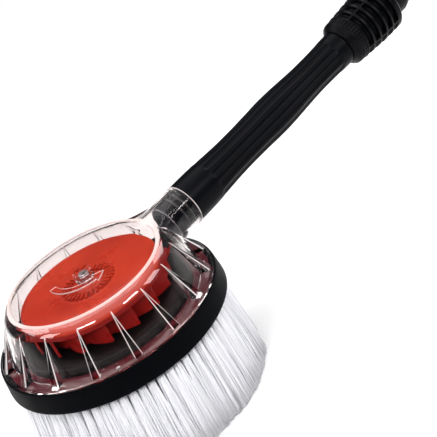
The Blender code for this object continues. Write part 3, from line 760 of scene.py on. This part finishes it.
# the spigot's bore and front lip are the same black plastic painted lighter: the bore's bluish grey is painted light
# inside the mouth, and the lip's grey is a painted highlight line around it
M_BORE_PAINTED_LIGHT = moulded("spigot_bore_painted_light", (0.016, 0.017, 0.023), (0.026, 0.028, 0.036), 0.40, 0.55, 1100.0, 0.00003, 0.3, 0.3)
M_LIP_PAINTED_HIGHLIGHT = moulded("spigot_lip_painted_highlight", (0.10, 0.10, 0.12), (0.16, 0.16, 0.18), 0.30, 0.40, 1100.0, 0.00003, 0.3, 0.4)
grip = lathe("handle_grip", hp, 240, [M_BLACK, M_BORE_PAINTED_LIGHT, M_LIP_PAINTED_HIGHLIGHT], HF, flutes, 40)
for p in grip.data.polygons:
    c = p.center / MM - Vector((AXIS_X, 0, HANDLE_Z))
    s_, r_ = c.dot(U), (c - U * c.dot(U)).length
    # front lip takes the painted highlight, the bore the painted light
    p.material_index = 2 if s_ < 68.35 and r_ > 11.5 else 1 if s_ < 92 and r_ < 11.7 and (s_ < 74.8 or r_ < 10) else 0
hand_in(grip, "housing", "black_plastic", "handle_tube")

for nm, s, nd in (("seal_front", 78.0, "neck_oring_front"), ("seal_rear", 83.0, "neck_oring_rear")):
    pr = [(12.28 + 0.82 * math.cos(TAU * k / 20), s + 0.82 * math.sin(TAU * k / 20)) for k in range(20)]
    hand_in(lathe(nm, pr, 96, M_SEAL, HF), "housing", "seal_rubber", nd)

noz = lathe("jet_disc", rounded([(0, 76.0), (6.0, 76.0, 0.2), (6.4, 76.6, 0.2), (8.2, 76.6, 0.2), (8.6, 76.0, 0.3), (9.4, 76.0, 0.3), (9.4, 80.0, 0.4), (4.5, 80.0, 0.5), (4.0, 84.5, 0.5), (0, 84.5)]), 96,
            M_BASE, HF)
jet = Bag()
jv, jf = prism_data([(2.0 + 1.3 * math.cos(TAU * k / 24), 1.3 * math.sin(TAU * k / 24)) for k in range(24)], 70.0, 90.0)
jet.add(jv, jf)
cut(noz, ("DIFFERENCE", jet.make("jet", M_BASE, HF)))
resharp(noz, 30)
hand_in(noz, "housing", "black_plastic", "jet_nozzle")

# ------------------------------------------------------------------- coupling
SLOT0, PITCH, WIDTH, SLOTS, CRIBS, CPHASE = 268.4, 6.9, 4.6, 5, 4, math.radians(30)


def env_r(s):
    return 18.6 + 1.4 * np.clip((s - 268.0) / 20.0, 0, 1)


cp = [(10.1, 256.3, 0.3), (13.6, 256.3, 0.3), (14.2, 256.8, 0.4), (17.7, 260.4, 0.7), (18.1, 261.4, 0.3)]
cp = rounded(cp, 4)
cp += [(18.1, s) for s in np.linspace(262.0, 266.6, 4)] + [(18.2, 267.0), (18.55, 267.4)]
for i in range(SLOTS):
    s0 = SLOT0 + i * PITCH
    r0, r1 = float(env_r(s0)), float(env_r(s0 + WIDTH))
    cp += [(r0 - 0.25, s0 - 0.35), (r0 + 0.0, s0 - 0.15), (r0 - 0.35, s0 + 0.15), (16.2, s0 + 0.35), (15.9, s0 + 0.8), (15.9, s0 + WIDTH - 0.6), (16.2, s0 + WIDTH - 0.2), (r1 - 0.35, s0 + WIDTH),
           (r1, s0 + WIDTH + 0.3)]
cp += rounded([(20.0, 303.2), (20.0, 304.6, 0.8), (18.6, 306.4, 1.0), (17.0, 307.0, 0.6), (10.1, 307.0, 0.4), (10.1, 301.0), (13.0, 299.0), (13.0, 263.0), (10.1, 261.0)], 4)


def windows(R, Z, A):
    """Annular slots stop at the lengthwise ribs; the front band is knurled."""
    per = TAU / CRIBS
    lateral = np.abs(np.mod(A - CPHASE + per / 2, per) - per / 2) * 18.0
    inside = (Z > SLOT0 - 0.4) & (Z < SLOT0 + SLOTS * PITCH) & (R > 15.5)
    e = np.clip((lateral - 0.75) / 0.3, 0, 1)
    R2 = np.where(inside, R * e + (env_r(Z) - 0.15) * (1 - e), R)
    knurl = 0.75 * (np.clip(np.abs(np.sin(A * 45 / 2)) * 1.8 - 0.4, 0, 1)) - 0.75
    band = np.clip((Z - 261.2) / 0.5, 0, 1) * np.clip((267.1 - Z) / 0.3, 0, 1) * (R > 17)
    return R2 + knurl * band, Z, A


collar = lathe("collar_fins", cp, 540, M_COLLAR, HF, windows, 34)
hand_in(collar, "collar", "collar_plastic", "coupling_collar")

ip = rounded([(5.0, 242.0, 0.2), (7.6, 242.0, 0.3), (7.6, 256.1, 0.1), (10.0, 256.1, 0.2), (10.0, 307.6), (13.4, 307.6, 0.5), (14.3, 308.6, 0.6), (14.3, 318.4, 2.0), (13.2, 321.8, 1.2),
              (11.9, 322.8, 0.4), (12.3, 323.6, 0.4), (12.3, 327.8, 0.8), (11.4, 329.0, 0.5), (9.0, 329.4, 0.4), (9.0, 340.6, 0.15), (7.5, 340.6, 0.15), (7.5, 343.0, 0.15), (9.0, 343.0, 0.2),
              (9.0, 348.8, 0.8), (8.0, 350.0, 0.4), (5.2, 350.0, 0.3), (5.0, 349.6, 0.2)], 5)
conn = lathe("inlet_body", ip, 128, M_COLLAR, HF, None, 34)
lug = Bag()
for sgn in (-1, 1):
    q = [(sgn * 4.0, -2.5), (sgn * 12.0, -2.5), (sgn * 12.5, -1.8), (sgn * 12.5, 1.8), (sgn * 12.0, 2.5), (sgn * 4.0, 2.5)]
    v, f = prism_data(q, 332.6, 336.4)
    lug.add(v, f)
lugs = lug.make("lugs", M_COLLAR, HF)
rebore = lathe("rebore", [(0, 300.0), (5.0, 300.0), (5.0, 345.0), (0, 345.0)], 128, M_COLLAR, HF)
cut(conn, ("UNION", lugs), ("DIFFERENCE", rebore))
resharp(conn, 34)
hand_in(conn, "housing", "black_plastic", "inlet_connector")
pr = [(8.78 + 0.97 * math.cos(TAU * k / 20), 341.8 + 0.97 * math.sin(TAU * k / 20)) for k in range(20)]
hand_in(lathe("seal_inlet", pr, 96, M_SEAL, HF), "housing", "seal_rubber", "inlet_oring")

# --------------------------------------------------------------- floor, light
def plain(name, colour, rough):
    m, nt, b = base_material(name)
    b.inputs["Base Color"].default_value = (*colour, 1)
    b.inputs["Roughness"].default_value = rough
    b.inputs["Specular IOR Level"].default_value = 0.1
    return m


fl = bpy.data.meshes.new("floor")
fl.from_pydata([(-6, -6, 0), (6, -6, 0), (6, 6, 0), (-6, 6, 0)], [], [(0, 1, 2, 3)])
floor = bpy.data.objects.new("floor", fl)
bpy.context.scene.collection.objects.link(floor)
fl.materials.append(plain("floor_pale", (0.93, 0.93, 0.93), 0.8))

world = bpy.data.worlds.new("studio")
bpy.context.scene.world = world
world.use_nodes = True
bg = world.node_tree.nodes["Background"]
bg.inputs["Strength"].default_value = 1.0
wt = world.node_tree
sky = node(wt, "ShaderNodeSeparateXYZ")
wt.links.new(node(wt, "ShaderNodeTexCoord").outputs["Generated"], sky.inputs["Vector"])
wt.links.new(ramp(wt, sky.outputs["Z"], [(0.0, (0.03, 0.031, 0.036)), (0.52, (0.04, 0.041, 0.047)), (0.80, (0.80, 0.80, 0.81)), (1.0, (1.0, 1.0, 1.0))]), bg.inputs["Color"])

HEAD = Vector((AXIS_X * MM, 0, 0.08))


def lamp(name, at, size, power, aim=HEAD, colour=(1, 1, 1)):
    d = bpy.data.lights.new(name, "AREA")
    d.shape = "RECTANGLE"
    d.size, d.size_y = size
    d.energy = power
    d.color = colour
    o = bpy.data.objects.new(name, d)
    bpy.context.scene.collection.objects.link(o)
    o.location = at
    o.rotation_euler = (Vector(aim) - Vector(at)).to_track_quat("-Z", "Y").to_euler()
    return o


lamp("key_left", HEAD + Vector((-0.83, -0.67, 0.83)), (0.46, 0.24), 6.0)
lamp("key_right", HEAD + Vector((0.28, -1.03, 0.83)), (0.46, 0.24), 6.0)
lamp("top", HEAD + Vector((0.10, 0.45, 1.3)), (1.4, 1.2), 9.0)
lamp("fill", HEAD + Vector((0.9, -0.7, 0.6)), (0.5, 0.5), 4.0)
lamp("left", HEAD + Vector((-1.0, 0.25, 0.7)), (0.4, 0.4), 3.0)
lamp("rear", HEAD + Vector((-0.55, 0.85, 0.95)), (0.7, 0.5), 4.0)
lamp("rear_right", HEAD + Vector((1.05, 0.35, 0.85)), (0.6, 0.5), 3.0)

# --------------------------------------------------------------------- camera
ELEV, ROLL, DIST, FPX = math.radians(26.5), math.radians(-28.6), 900.0, 1375.0
TX, TY, PP, AZ = 117.2, 329.1, 218.5, math.radians(27.3)
fwd = Vector((0, math.cos(ELEV), -math.sin(ELEV)))
right = Vector((1, 0, 0))
up = right.cross(fwd)
r_ = math.cos(ROLL) * right + math.sin(ROLL) * up
u_ = -math.sin(ROLL) * right + math.cos(ROLL) * up
o_ = Vector(((TX - PP) / FPX * DIST, -(TY - PP) / FPX * DIST, DIST))
pos = -(r_ * o_.x + u_ * o_.y + fwd * o_.z)
turn = Matrix.Rotation(-AZ, 3, "Z")
pos, r_, u_, fwd = turn @ pos, turn @ r_, turn @ u_, turn @ fwd
pos = (pos + Vector((AXIS_X, 0, Z_SKIRT))) * MM
cd = bpy.data.cameras.new("camera")
cd.sensor_width = 36.0
cd.lens = FPX / 437.0 * 36.0
cd.clip_start, cd.clip_end = 0.01, 50
cam = bpy.data.objects.new("camera", cd)
bpy.context.scene.collection.objects.link(cam)
cam.matrix_world = Matrix(((r_.x, u_.x, -fwd.x, pos.x), (r_.y, u_.y, -fwd.y, pos.y), (r_.z, u_.z, -fwd.z, pos.z), (0, 0, 0, 1)))
bpy.context.scene.camera = cam
bpy.context.scene.view_settings.view_transform = "Standard"
